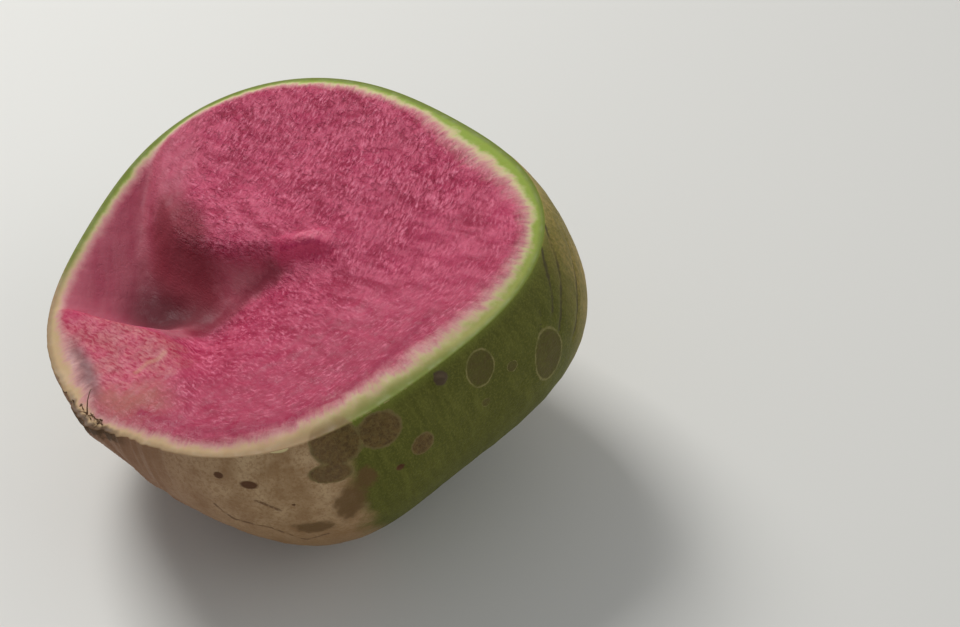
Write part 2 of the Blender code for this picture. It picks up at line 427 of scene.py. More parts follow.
class MarkKind(Enum):
    """The kinds of marks on the skin. Each value names the attribute it is drawn by."""

    SCAR = "scar"
    PATCH = "patch"
    SPOT = "spot"
    STAIN = "stain"
    CHIP = "chip"
    KNOB = "knob"
    HOLE = "hole"


@dataclass(frozen=True)
class Mark:
    """An oval mark on the skin: its middle, half sizes across and up in mm, and its turn."""

    middle: Point
    half: Place
    turn: float = 0.0

    def spread(self, points: Array, hub: Point) -> Array:
        """Gives each place's distance as a share of the mark's half sizes.

        Args:
            points: the places over the resting surface, in mm.
            hub: the middle of the body, in mm, that the mark faces away from.

        Returns:
            0 at the mark's middle and 1 on its outline.
        """
        outward = (Vector(self.middle) - Vector(hub)).normalized()
        across = Vector((-outward.y, outward.x, 0.0)).normalized()
        up = outward.cross(across)
        turn = math.radians(self.turn)
        first = across * math.cos(turn) + up * math.sin(turn)
        second = up * math.cos(turn) - across * math.sin(turn)
        away = points - np.array(self.middle)
        sides = ((first, self.half[0]), (second, self.half[1]), (outward, sum(self.half)))
        return np.sqrt(sum((away @ np.array(side) / half) ** 2 for side, half in sides))


MARKS = {
    MarkKind.SCAR: (
        Mark((35.5, -31.8, 49.3), (3.0, 3.9)), Mark((48.3, -22.2, 43.5), (3.5, 6.1)),
        Mark((41.4, -28.1, 46.2), (1.2, 1.2)), Mark((36.5, -32.5, 41.1), (1.0, 1.0))),
    MarkKind.PATCH: (
        Mark((24.9, -42.2, 40.4), (2.5, 2.2)), Mark((9.8, -48.4, 46.5), (4.8, 4.2)),
        Mark((17.6, -44.9, 46.7), (4.2, 3.5)), Mark((8.7, -50.0, 41.1), (4.1, 2.1))),
    MarkKind.SPOT: (
        Mark((-11.6, -49.7, 40.1), (1.0, 0.8)), Mark((-6.1, -51.0, 38.9), (1.8, 1.0)),
        Mark((-7.4, -49.6, 45.1), (0.8, 0.5)), Mark((1.7, -51.9, 34.4), (0.45, 0.45))),
    MarkKind.STAIN: (
        Mark((11.8, -50.4, 33.5), (3.2, 5.0), -15.0), Mark((5.0, -51.3, 27.5), (4.5, 2.0)),
        Mark((15.0, -48.8, 38.5), (2.2, 2.6))),
    MarkKind.CHIP: (
        Mark((30.0, -31.3, 55.5), (2.4, 0.8), 25.0), Mark((-0.9, -48.9, 46.5), (2.3, 0.9))),
    MarkKind.KNOB: (Mark((28.4, -36.6, 51.6), (1.5, 1.5)),),
    MarkKind.HOLE: (Mark((21.0, -45.7, 37.5), (0.9, 0.7)),),
}

BROWN_LINES = (
    ((-13.4, -49.1, 31.7), (-10.0, -49.4, 27.4), (-3.2, -50.8, 26.9), (3.0, -49.9, 22.2),
     (7.3, -50.3, 24.5)),
    ((-5.3, -51.3, 35.2), (-0.9, -51.8, 32.9)),
)

CROWN_LINES = (
    ((47.0, -3.0, 61.0), (49.9, -8.4, 57.8), (51.0, -15.6, 51.4), (50.7, -19.0, 46.8)),
    ((46.6, -9.0, 60.4), (48.2, -14.0, 56.6), (49.3, -19.0, 50.5)),
    ((50.2, 2.0, 60.0), (53.4, -4.0, 54.0), (54.4, -11.0, 48.0), (53.6, -16.0, 42.0)),
    ((44.0, -15.0, 58.6), (46.4, -20.0, 53.0), (47.2, -23.5, 47.5)),
)


@dataclass(frozen=True)
class Skin:
    """The root's own skin, from the rim down to the underside."""

    rim: Rim = Rim()
    crowding: float = 1.22
    depth: float = 0.0538
    swell: float = 0.46
    swell_more: float = 0.21
    swell_direction: float = -89.0
    underside_pull: float = -0.19
    underside_lean: Place = (0.0039, -0.0024)
    flat_sides: tuple = ((-71.0, 0.24), (-152.0, 0.40))
    flat_span: float = 24.0
    wave_height: float = 0.0006
    waves_round: int = 7
    waves_down: int = 5
    crown_direction: float = 15.0
    crown_down: float = 26.0
    crown_dimple: float = 0.0022
    crown_radius: float = 0.0080
    crown_from_rim: float = 16.0
    crown_middle: Point = (54.0, 22.0, 42.0)
    mark_hub: Point = (4.5, 1.8, 32.0)
    farthest_spread: float = 9.0
    hub_depth: float = 0.4
    rough_height: float = 0.00010
    rough_size: float = 0.0040
    pitted_size: float = 0.0011
    patch_rise: float = 0.00022
    patch_edge: Place = (1.05, 0.15)
    knob_rise: float = 0.0011
    knob_spread: float = 0.8
    hole_depth: float = 0.0009
    hole_spread: float = 0.7
    scar_rise: float = 0.00012
    scar_width: float = 0.10
    fissure_depth: float = 0.00035
    fissure_mm: float = 0.5
    smooth_turn: float = 3.0
    greens: tuple = (
        (0.0, 1.0), (125.0, 1.0), (135.0, 0.72), (147.0, 0.30), (160.0, 0.0), (256.0, 0.0),
        (262.0, 0.38), (266.0, 0.78), (272.0, 1.0))

    def points(self, share: Array, angle: Array) -> Array:
        """Lays the grid's places over the skin.

        Args:
            share: 1 at the rim and 0 at the underside.
            angle: the direction of each place.

        Returns:
            One row of three coordinates for each place, in the face's frame.
        """
        down = (1.0 - share) ** self.crowding * math.pi / 2.0
        swell = self.swell + self.swell_more * np.cos(angle - math.radians(self.swell_direction))
        for direction, loss in self.flat_sides:
            swell -= loss * bell(turn_between(angle, direction) / self.flat_span)
        low = np.sin(down)
        reach = np.cos(down) * (1.0 + swell * low + self.underside_pull * low * low)
        wave = np.sin(self.waves_round * angle) * np.sin(self.waves_down * down) * np.cos(down)
        stub = self.rim.stub(angle)
        radius = (self.rim.reach(angle) - stub) * reach + self.wave_height * wave
        radius += stub * bell(np.degrees(down) / self.rim.root_span)
        from_crown = np.hypot(turn_between(angle, self.crown_direction),
                              np.degrees(down) - self.crown_down)
        dimple = bell(np.radians(from_crown) * self.rim.radius / self.crown_radius)
        radius -= self.crown_dimple * dimple * smooth_step(np.degrees(down) / self.crown_from_rim)
        x = radius * np.cos(angle) + self.underside_lean[0] * low * low
        y = radius * np.sin(angle) + self.underside_lean[1] * low * low
        z = -self.rim.drop - (self.depth - self.rim.drop) * low
        z -= self.rim.worn(angle) * bell(down * self.rim.radius / self.rim.worn_width)
        return self.roughened(np.column_stack((x, y, z)), down)

    def roughened(self, points: Array, down: Array) -> Array:
        """Adds the skin's fine unevenness and the height of its marks.

        Args:
            points: places on the smooth skin, in the face's frame.
            down: how far each is turned down from the rim.

        Returns:
            The places, moved in or out.
        """
        outward = points - np.array((0.0, 0.0, -self.hub_depth * self.depth))
        outward /= np.linalg.norm(outward, axis=1)[:, None]
        marks = self.mark_fields(points)
        pitted = lumps(points, self.pitted_size, 9.0, 2)
        patch = smooth_step((self.patch_edge[0] - marks["patch"]) / self.patch_edge[1])
        rise = self.rough_height * lumps(points, self.rough_size, 5.0)
        rise += self.patch_rise * patch * (0.6 + pitted)
        rise += self.knob_rise * bell(marks["knob"] / self.knob_spread) * (0.8 + 0.5 * pitted)
        rise -= self.hole_depth * bell(marks["hole"] / self.hole_spread)
        rise += self.scar_rise * bell((marks["scar"] - 1.0) / self.scar_width)
        rise -= self.fissure_depth * bell(marks["fissure_mm"] / self.fissure_mm)
        away = smooth_step(down / math.radians(self.smooth_turn))
        return points + outward * (rise * away)[:, None]

    def mark_fields(self, points: Array) -> dict[str, Array]:
        """Gives each kind of mark's nearest spread, at places in the face's frame."""
        world = to_world(points) / MM
        made = {"crown_mm": np.linalg.norm(world - np.array(self.crown_middle), axis=1)}
        for kind, marks in MARKS.items():
            spreads = [mark.spread(world, self.mark_hub) for mark in marks]
            made[kind.value] = np.minimum(np.min(spreads, axis=0), self.farthest_spread)
        for name, lines in (("line_mm", BROWN_LINES), ("fissure_mm", CROWN_LINES)):
            made[name] = np.min([line_distance(world, line) for line in lines], axis=0)
        return made

    def fields(self, points: Array) -> dict[str, Array]:
        """Measures what the finish reads.

        Args:
            points: places in the face's frame.

        Returns:
            Distances in mm and shares, by name.
        """
        angle = np.arctan2(points[:, 1], points[:, 0])
        low = (-points[:, 2] - self.rim.drop) / (self.depth - self.rim.drop)
        return {**self.mark_fields(points),
                "green": by_direction(angle, self.greens),
                "down_mm": np.maximum(low, 0.0) * self.depth / MM,
                "root_turn": np.abs(turn_between(angle, self.rim.root_direction))}


class Noise(NamedTuple):
    """A noise pattern: its largest lumps in mm, its finer layers and their strength."""

    size: float
    detail: float = 2.0
    roughness: float = 0.5


class Fade(NamedTuple):
    """A smooth share of a value: where it starts and ends, and the last and first share."""

    start: float
    end: float
    top: float = 1.0
    bottom: float = 0.0


class Coat(NamedTuple):
    """A coat of colour over a stored measure, which a ragged noise may move."""

    measure: str
    colour: Colour
    fade: Fade
    ragged: float = 0.0


@dataclass(frozen=True)
class Finish:
    """A material with one shader, and short ways to add its nodes and join them."""

    name: str

    @cached_property
    def material(self) -> bpy.types.Material:
        """The new material.

        Returns:
            The material, which has the usual shader.
        """
        made = bpy.data.materials.new(self.name)
        made.use_nodes = True
        return made

    @cached_property
    def tree(self) -> bpy.types.NodeTree:
        """The material's nodes."""
        return self.material.node_tree

    @cached_property
    def shader(self) -> bpy.types.Node:
        """The material's one shader."""
        return self.tree.nodes["Principled BSDF"]

    def node(self, kind: str, **settings: object) -> bpy.types.Node:
        """Adds a node and gives it its settings.

        Args:
            kind: the node's type.
            settings: the settings by name.

        Returns:
            The new node.
        """
        made = self.tree.nodes.new(kind)
        for name, value in settings.items():
            setattr(made, name, value)
        return made

    def feed(self, socket: Socket, source: object) -> None:
        """Joins a socket to another one, or gives it a fixed value.

        Args:
            socket: the input.
            source: an output or a value.
        """
        if isinstance(source, Socket):
            self.tree.links.new(source, socket)
        else:
            wide = isinstance(source, tuple) and len(source) == 3 and socket.type == "RGBA"
            socket.default_value = (*source, 1.0) if wide else source

    def surface(self, colour: object, roughness: object, levels: tuple = ()) -> None:
        """Sets the shader's colour, its roughness and its other levels by socket."""
        for name, value in (("Base Color", colour), ("Roughness", roughness), *levels):
            self.feed(self.shader.inputs[name], value)

    def relief(self, height: object, depth_mm: float) -> None:
        """Turns a height from 0 to 1 into relief of a depth in mm.

        Args:
            height: what is read.
            depth_mm: how deep it is at 1.
        """
        made = self.node("ShaderNodeBump")
        for name, value in (("Strength", 1.0), ("Distance", depth_mm * MM), ("Height", height)):
            self.feed(made.inputs[name], value)
        self.feed(self.shader.inputs["Normal"], made.outputs[0])

    def math(self, operation: str, *values: object) -> Socket:
        """Adds a math node and feeds it in order.

        Args:
            operation: the node's operation.
            values: what it is fed.

        Returns:
            The result.
        """
        made = self.node("ShaderNodeMath", operation=operation)
        for socket, value in zip(made.inputs, values):
            self.feed(socket, value)
        return made.outputs[0]

    def product(self, *values: object) -> Socket:
        """Multiplies two or more values.

        Args:
            values: what is multiplied.

        Returns:
            The product.
        """
        made = values[0]
        for value in values[1:]:
            made = self.math("MULTIPLY", made, value)
        return made

    def mix(self, share: object, first: object, second: object) -> Socket:
        """Mixes two colours, with a share of the second one.

        Args:
            share: how much of the second one, from 0 to 1.
            first: the colour at 0.
            second: the colour at 1.

        Returns:
            The mixed colour.
        """
        made = self.node("ShaderNodeMix", data_type="RGBA")
        for socket, value in zip((made.inputs[0], *made.inputs[6:8]), (share, first, second)):
            self.feed(socket, value)
        return made.outputs[2]

    def blend(self, share: object, first: object, second: object) -> Socket:
        """Mixes two values, with a share of the second one.

        Args:
            share: how much of the second one, from 0 to 1.
            first: the value at 0.
            second: the value at 1.

        Returns:
            The mixed value.
        """
        made = self.node("ShaderNodeMix", data_type="FLOAT")
        for socket, value in zip((made.inputs[0], *made.inputs[2:4]), (share, first, second)):
            self.feed(socket, value)
        return made.outputs[0]

    def share(self, value: object, fade: Fade) -> Socket:
        """Turns a value into a smooth share.

        Args:
            value: what is read, or the name of a measure that is stored on the mesh.
            fade: where the share starts and ends.

        Returns:
            The share.
        """
        start, end, top, bottom = fade
        if end < start:
            start, end, top, bottom = end, start, bottom, top
        made = self.node("ShaderNodeMapRange", interpolation_type="SMOOTHSTEP", clamp=True)
        read = self.stored(value) if isinstance(value, str) else value
        for socket, given in zip(made.inputs, (read, start, end, bottom, top)):
            self.feed(socket, given)
        return made.outputs[0]

    def coat(self, under: object, colour: object, value: object, fade: Fade) -> Socket:
        """Lays a colour over another one, by the smooth share of a value."""
        return self.mix(self.share(value, fade), under, colour)

    def stored(self, name: str, output: str = "Fac") -> Socket:
        """Reads a measure that is stored on the mesh."""
        return self.node("ShaderNodeAttribute", attribute_name=name).outputs[output]

    def moved(self, name: str, source: object, amount: float) -> Socket:
        """Adds an amount of a noise to a measure that is stored on the mesh."""
        return self.math("MULTIPLY_ADD", source, amount, self.stored(name))

    @cached_property
    def place(self) -> Socket:
        """The place in the cut face's own frame, in mm.

        Returns:
            The place.
        """
        made = self.node("ShaderNodeMapping", vector_type="TEXTURE")
        turns = (0.0, math.radians(-FACE_TILT), math.radians(FACE_TURN))
        for name, value in (("Location", FACE_CENTRE), ("Rotation", turns),
                            ("Scale", (MM, MM, MM)),
                            ("Vector", self.node("ShaderNodeTexCoord").outputs["Object"])):
            self.feed(made.inputs[name], value)
        return made.outputs[0]

    def scaled(self, place: object, scale: Point, turn: float = 0.0) -> Socket:
        """Turns a place about its third axis, in degrees, and then scales it.

        Args:
            place: the place that a pattern is read at.
            scale: how much each axis is scaled.
            turn: the turn in degrees.

        Returns:
            The new place.
        """
        for name, value in (("Rotation", (0.0, 0.0, math.radians(turn))), ("Scale", scale)):
            made = self.node("ShaderNodeMapping", vector_type="POINT")
            self.feed(made.inputs[name], value)
            self.feed(made.inputs["Vector"], place)
            place = made.outputs[0]
        return place

    def reach(self, direction: float) -> Socket:
        """Gives the distance in mm from the middle of the face along a direction.

        Args:
            direction: the direction in degrees.

        Returns:
            The distance.
        """
        made = self.node("ShaderNodeVectorMath", operation="DOT_PRODUCT")
        turn = math.radians(direction)
        self.feed(made.inputs[0], self.place)
        self.feed(made.inputs[1], (math.cos(turn), math.sin(turn), 0.0))
        return made.outputs["Value"]

    def cloud(self, pattern: Noise, place: object = None) -> Socket:
        """Adds a noise pattern, mostly from 0.3 to 0.7.

        Args:
            pattern: the sizes and strengths of its lumps.
            place: where it is read, in mm, or None for the place in the face's frame.

        Returns:
            The noise.
        """
        made = self.node("ShaderNodeTexNoise")
        for name, value in (("Vector", self.place if place is None else place),
                            ("Scale", 1.0 / pattern.size), ("Detail", pattern.detail),
                            ("Roughness", pattern.roughness)):
            self.feed(made.inputs[name], value)
        return made.outputs[0]

    def sway(self, pattern: Noise, amount: float, place: object = None) -> Socket:
        """Adds a noise pattern that is spread about 0, by an amount at most."""
        return self.math("MULTIPLY_ADD", self.cloud(pattern, place), 2.0 * amount, -amount)

    def warped(self, place: object, *steps: Place) -> Socket:
        """Moves a place about by noise, in steps of a size and an amount in mm.

        Args:
            place: the place that is moved.
            steps: the steps in order.

        Returns:
            The new place.
        """
        for size, amount in steps:
            made = self.node("ShaderNodeTexNoise")
            self.feed(made.inputs["Vector"], place)
            self.feed(made.inputs["Scale"], 1.0 / size)
            moved = self.node("ShaderNodeVectorMath", operation="MULTIPLY_ADD")
            for socket, value in zip(moved.inputs, (made.outputs["Color"], (amount,) * 3, place)):
                self.feed(socket, value)
            place = moved.outputs[0]
        return place

    def creases(self, place: object, size: float, width: float) -> Socket:
        """Adds a net of creases.

        Args:
            place: where it is read, in mm.
            size: the width of the net's cells, in mm.
            width: how wide the creases are, as a share of a cell.

        Returns:
            1 in the creases and 0 in the cells.
        """
        made = self.node("ShaderNodeTexVoronoi", feature="DISTANCE_TO_EDGE")
        self.feed(made.inputs["Vector"], place)
        self.feed(made.inputs["Scale"], 1.0 / size)
        return self.share(made.outputs[0], Fade(width, 0.0))


@dataclass(frozen=True)
class FleshFinish(Finish):
    """The dried flesh: pink to magenta, creased, with a pale band inside the skin, painted shade
    in the pit and its creases, painted sheen on its strokes and the ridge's wall, and painted
    light on the lip.
    """

    name: str = "flesh"
    pink: Colour = (0.565, 0.048, 0.134)
    rosy: Colour = (0.65, 0.110, 0.195)
    # The flesh's pale tone, which also lays painted sheen on the strokes' tops
    light: Colour = (0.78, 0.205, 0.305)
    deep: Colour = (0.30, 0.006, 0.043)
    # Painted shade for the valley's crease and for the net's sunk creases
    crease: Colour = (0.20, 0.003, 0.024)
    # Painted shade for the deepest floor of the pit
    pit_painted_shade: Colour = (0.080, 0.004, 0.010)
    pit_wall: Colour = (0.44, 0.105, 0.145)
    pit_streak: Colour = (0.38, 0.055, 0.100)
    ridge_wall: Colour = (0.42, 0.080, 0.120)
    # Painted sheen on the ridge's wall
    ridge_sheen: Colour = (0.45, 0.135, 0.165)
    # Painted shade for the hollow in the pit
    hollow_shade: Colour = (0.22, 0.020, 0.034)
    # Bright pink, painted light on the top of the lip's nose
    lip: Colour = (0.86, 0.215, 0.305)
    # Painted light along the lip, over the shade of its front slope
    lip_painted_light: Colour = (0.78, 0.080, 0.190)
    lip_line: Colour = (0.46, 0.006, 0.090)
    tongue: Colour = (0.44, 0.090, 0.115)
    tongue_dash: Colour = (0.36, 0.010, 0.045)
    tongue_light: Colour = (0.58, 0.18, 0.19)
    bruise: Colour = (0.19, 0.085, 0.085)
    tan: Colour = (0.38, 0.130, 0.095)
    torn: Colour = (0.52, 0.25, 0.16)
    ring: Colour = (0.30, 0.003, 0.045)
    skin_cream: Colour = (0.31, 0.205, 0.105)
    skin_green: Colour = (0.14, 0.175, 0.022)
    cork: Colour = (0.15, 0.085, 0.030)
    crust: Colour = (0.12, 0.065, 0.030)
    cream: Colour = (0.52, 0.350, 0.185)
    green: Colour = (0.25, 0.33, 0.045)
    pale: Colour = (0.56, 0.55, 0.24)
    fuzz: Colour = (0.58, 0.29, 0.27)

    # The strokes and creases of the open field, with painted shade in their low places and painted
    # sheen on their tops
    stroke: Noise = Noise(0.60, 4.0, 0.7)
    stroke_warps: tuple = ((3.0, 1.3), (0.9, 0.35))
    crown_strokes: tuple = ((0.34, 1.0, 0.8), -47.0)
    root_strokes: tuple = ((0.32, 1.0, 0.8), 67.0)
    rim_strokes: Point = (17.0, 17.0, 1.0)
    stroke_sides: Fade = Fade(-6.0, 12.0)
    stroke_rim: Fade = Fade(14.0, 32.0, 0.8)
    # The strokes' tone: partly the flesh's own streaks, partly painted shade and painted sheen on
    # their relief
    stroke_tone_and_shade: Fade = Fade(0.52, 0.38, 0.90)
    stroke_tone_and_sheen: Fade = Fade(0.50, 0.65, 0.90)
    net_warps: tuple = ((2.6, 2.2), (0.8, 0.7))
    net_stretch: tuple = ((0.40, 1.0, 0.8), 68.0)
    net_cell: Place = (1.2, 0.11)
    # Painted shade in the net's sunk creases
    net_shade_strength: float = 0.45
    net_depth: float = -0.16
    broken: tuple = (Noise(2.2, 3.0), Fade(0.44, 0.60))
    net_upper: Fade = Fade(-12.0, 12.0, 1.0, 0.25)
    upper: float = 85.0
    broad: tuple = (Noise(11.0, 4.0, 0.6), Fade(0.34, 0.62, 0.65, 0.10))
    sweep_warp: Place = (6.0, 2.5)
    sweep_stretch: tuple = ((0.30, 1.0, 0.8), 60.0)
    sweep: tuple = (Noise(2.6, 3.0, 0.6), Fade(0.34, 0.62, 0.75))
    lower: float = -105.0
    lower_fade: Fade = Fade(6.0, 32.0, 0.62)
    contrast: Fade = Fade(-30.0, 5.0, 1.0, 0.65)
    patchy: tuple = (Noise(5.0, 4.0, 0.65), Fade(0.38, 0.60, 1.0, 0.35))

    # The pit and its walls, with painted shade under the ridge's wall, where the walls meet and on
    # the deepest floor, and painted sheen on the ridge's wall
    sunken_sway: tuple = (Noise(2.5, 3.0), 1.5)
    sunken_side: Fade = Fade(-2.4, 0.8)
    sunken_depth: Fade = Fade(0.3, 2.4)
    sunken_strength: float = 0.92
    streak_stretch: tuple = ((0.10, 0.8, 0.3), -68.0)
    streak: tuple = (Noise(2.0, 3.0, 0.55), Fade(0.24, 0.74))
    cloudy: tuple = (Noise(5.0, 3.0, 0.6), 0.4)
    sheen_fade: Fade = Fade(-0.15, 0.15)
    wall_low: Fade = Fade(6.0, 13.0, 0.7)
    # Painted shade where the rim's wall meets the ridge's wall
    junction_shade_strength: float = 0.30
    wall_strength: float = 0.94
    # Painted shade over the pit's hollow
    hollow_shade_fade: Fade = Fade(1.25, 0.55, 0.85)
    # Painted shade: the depth in mm over which the pit's floor is darkened
    pit_shade_fade: Fade = Fade(5.5, 10.2, 0.92)

    # The tongue
    dash_stretch: tuple = ((0.32, 1.0, 1.0), 60.0)
    dash: Noise = Noise(0.55, 3.0, 0.6)
    dash_dark: Fade = Fade(0.50, 0.63, 0.85)
    dash_light: Fade = Fade(0.50, 0.36, 0.6)
    flushed: tuple = (Noise(5.0, 3.0), Fade(0.40, 0.62, 0.5))
    tongue_sway: tuple = (Noise(3.0, 3.0), 0.3)
    tongue_top_fade: Fade = Fade(1.3, 0.3, 0.45)
    tongue_fade: Fade = Fade(1.15, 0.80)
    tongue_side: Fade = Fade(-1.2, -0.2)
    tan_fade: Fade = Fade(1.5, 0.4, 0.7)
    bruise_fade: Fade = Fade(1.5, 0.5, 0.88)
    torn_fade: Fade = Fade(1.0, 0.1, 0.5)

    # The band inside the rim and the worn edge
    spokes: Point = (50.0, 50.0, 0.30)
    fuzz_sway: tuple = (Noise(1.0, 4.0, 0.7), 0.35)
    wall_calm: float = -0.8
    band_sway: tuple = (Noise(4.0, 4.0, 0.6), 0.35)
    pale_fade: Fade = Fade(0.25, 0.55)
    fuzz_fade: Fade = Fade(0.30, 0.80)
    band_fade: Fade = Fade(0.50, 1.20)
    green_fade: Fade = Fade(0.10, 0.40)
    cork_fade: Fade = Fade(1.10, 0.95, 0.8)
    over_sway: float = 0.7
    over_fade: Fade = Fade(1.35, 0.30, 0.9)
    crust_sway: float = 0.9
    crust_fade: Fade = Fade(1.5, 0.6)
    root_fade: Fade = Fade(11.0, 5.0)

    # The drawn lines, with painted shade along the valley's crease, and the lip with painted light
    # along it and on its nose
    line_sway: tuple = (Noise(1.8, 4.0, 0.65), 2.0)
    ring_fades: tuple = (Fade(3.2, 0.6, 0.40), Fade(0.9, 0.1, 0.75))
    crease_shade_fade: Fade = Fade(2.3, 0.2, 0.66)
    lip_sway: float = 0.3
    # Painted light along the lip
    lip_light_fade: Fade = Fade(3.2, 0.6, 0.62)
    # Painted light on the nose's top
    nose_light_fade: Fade = Fade(2.2, 0.8, 0.85)
    nose_uneven: tuple = (Noise(0.7, 3.0, 0.7), Fade(0.38, 0.60, 1.0, 0.3))
    lip_fade: Fade = Fade(0.5, 0.1, 0.6)

    # The gloss and the relief
    gloss: tuple = (Noise(2.4, 3.0), Fade(0.36, 0.62, 0.52, 0.34))
    dull_tongue: Fade = Fade(1.3, 0.95, 0.8)
    dull_more: float = 0.20
    calm_smooth: float = -0.80
    calm_direction: float = -115.0
    calm_low: Fade = Fade(4.0, 22.0, 0.5, 1.15)
    calm_tongue: Fade = Fade(1.3, 0.95, 0.28, 1.0)
    relief_mm: float = 0.60
    levels: tuple = (("Specular IOR Level", 0.28), ("Subsurface Weight", 0.10),
                     ("Subsurface Radius", (1.0, 0.35, 0.3)), ("Subsurface Scale", 0.0012))

    def dress(self) -> bpy.types.Material:
        """Builds the finish of the cut face.

        Returns:
            Its material.
        """
        colour = self.tongue_colour(self.pit_colour(self.field_colour()))
        colour, flesh = self.band_colour(colour)
        smooth = self.math("MAXIMUM", self.sunken, self.stored("wall"))
        dull = self.math("MAXIMUM", smooth, self.math("SUBTRACT", 1.0, flesh))
        dull = self.math("MAXIMUM", dull, self.share("tongue", self.dull_tongue))
        roughness = self.math("MULTIPLY_ADD", dull, self.dull_more, self.uneven(*self.gloss))
        self.surface(self.line_colour(colour), roughness, self.levels)
        calm = self.product(self.math("MULTIPLY_ADD", smooth, self.calm_smooth, 1.0),
                            self.share(self.reach(self.calm_direction), self.calm_low),
                            self.share("tongue", self.calm_tongue), flesh)
        height = self.math("MULTIPLY_ADD", self.net, self.net_depth, self.strokes)
        self.relief(self.product(height, calm), self.relief_mm)
        return self.material

    def uneven(self, pattern: Noise, fade: Fade) -> Socket:
        """Gives the smooth share of a noise pattern."""
        return self.share(self.cloud(pattern), fade)

    @cached_property
    def strokes(self) -> Socket:
        """The fine short strokes of the dried flesh, which turn from side to side.

        Returns:
            The noise of the strokes.
        """
        warped = self.warped(self.place, *self.stroke_warps)
        crown_side = self.cloud(self.stroke, self.scaled(warped, *self.crown_strokes))
        root_side = self.cloud(self.stroke, self.scaled(warped, *self.root_strokes))
        round_rim = self.cloud(self.stroke, self.scaled(self.stored("polar", "Vector"),
                                                        self.rim_strokes))
        inner = self.blend(self.share(self.reach(20.0), self.stroke_sides), root_side, crown_side)
        return self.blend(self.share(self.reach(-78.0), self.stroke_rim), inner, round_rim)

    @cached_property
    def net(self) -> Socket:
        """The broken net of drying creases.

        Returns:
            1 in the creases and 0 beside them.
        """
        place = self.scaled(self.warped(self.place, *self.net_warps), *self.net_stretch)
        return self.product(self.creases(place, *self.net_cell), self.uneven(*self.broken),
                            self.share(self.reach(self.upper), self.net_upper))

    @cached_property
    def sunken(self) -> Socket:
        """The smooth share of the pit, on the ridge's side of the valley.

        Returns:
            The share.
        """
        side = self.math("ADD", self.stored("sunken_mm"), self.sway(*self.sunken_sway))
        return self.product(self.share(side, self.sunken_side),
                            self.share("pit_mm", self.sunken_depth))

    def field_colour(self) -> Socket:
        """Colours the open field of the flesh, with painted shade in its creases and low strokes
        and painted sheen on the strokes' tops.

        Returns:
            The colour.
        """
        colour = self.mix(self.uneven(*self.broad), self.deep, self.pink)
        place = self.scaled(self.warped(self.place, self.sweep_warp), *self.sweep_stretch)
        pattern, fade = self.sweep
        colour = self.coat(colour, self.rosy, self.cloud(pattern, place), fade)
        colour = self.coat(colour, self.deep, self.reach(self.lower), self.lower_fade)
        contrast = self.product(self.share(self.reach(self.upper), self.contrast),
                                self.uneven(*self.patchy))
        # The strokes' colour follows their relief: partly the flesh's own streaks, partly painted
        # shade in the low strokes and painted sheen on the high ones
        for fade, over in ((self.stroke_tone_and_shade, self.deep), (self.stroke_tone_and_sheen, self.light)):
            colour = self.mix(self.product(self.share(self.strokes, fade), contrast), colour, over)
        # Painted shade in the net's sunk creases
        return self.mix(self.product(self.net, self.net_shade_strength), colour, self.crease)

    def pit_colour(self, under: object) -> Socket:
        """Colours the pit's smooth floor and its purple walls, with painted shade under the
        ridge's wall, where the walls meet and on the deepest floor, and patches of painted sheen
        on the ridge's wall.

        Args:
            under: the colour that it lies on.

        Returns:
            The colour.
        """
        place = self.scaled(self.warped(self.place, (6.0, 1.5)), *self.streak_stretch)
        pattern, fade = self.streak
        wall = self.coat(self.pit_streak, self.pit_wall, self.cloud(pattern, place), fade)
        wall = self.coat(wall, self.ridge_wall, "pit_mm", self.wall_low)
        # Painted shade where the rim's wall meets the ridge's wall
        wall = self.mix(self.product(self.stored("junction"), self.junction_shade_strength), wall,
                        self.hollow_shade)
        cloudy = self.sway(*self.cloudy)
        # Patches of painted sheen over the ridge's wall colour
        soft = self.coat(self.ridge_wall, self.ridge_sheen, cloudy, self.sheen_fade)
        colour = self.mix(self.product(self.sunken, self.sunken_strength), under, soft)
        colour = self.mix(self.product(self.stored("wall"), self.wall_strength), colour, wall)
        # Painted shade in the pit's hollow
        hollow_shade = self.math("ADD", self.stored("hollow_shade"), cloudy)
        colour = self.coat(colour, self.hollow_shade, hollow_shade, self.hollow_shade_fade)
        # Painted shade darkens the pit's floor by its depth
        return self.coat(colour, self.pit_painted_shade, "pit_mm", self.pit_shade_fade)

    def tongue_colour(self, under: object) -> Socket:
        """Colours the light tongue at the root end, with its dashes, bruise and tan patch.

        Args:
            under: the colour that it lies on.

        Returns:
            The colour.
        """
        place = self.scaled(self.warped(self.place, (2.5, 1.2)), *self.dash_stretch)
        dashes = self.cloud(self.dash, place)
        colour = self.mix(self.uneven(*self.flushed), self.tongue, self.pink)
        colour = self.coat(colour, self.tongue_dash, dashes, self.dash_dark)
        colour = self.coat(colour, self.tongue_light, dashes, self.dash_light)
        colour = self.coat(colour, self.lip_line, "tongue_top", self.tongue_top_fade)
        sway = self.sway(*self.tongue_sway)
        under = self.coat(under, self.tan, self.moved("tan", sway, 1.0), self.tan_fade)
        over = self.product(self.share(self.moved("tongue", sway, 1.0), self.tongue_fade),
                            self.share("tongue_mm", self.tongue_side))
        colour = self.mix(over, under, colour)
        colour = self.coat(colour, self.bruise, "bruise", self.bruise_fade)
        return self.coat(colour, self.torn, "torn_mm", self.torn_fade)

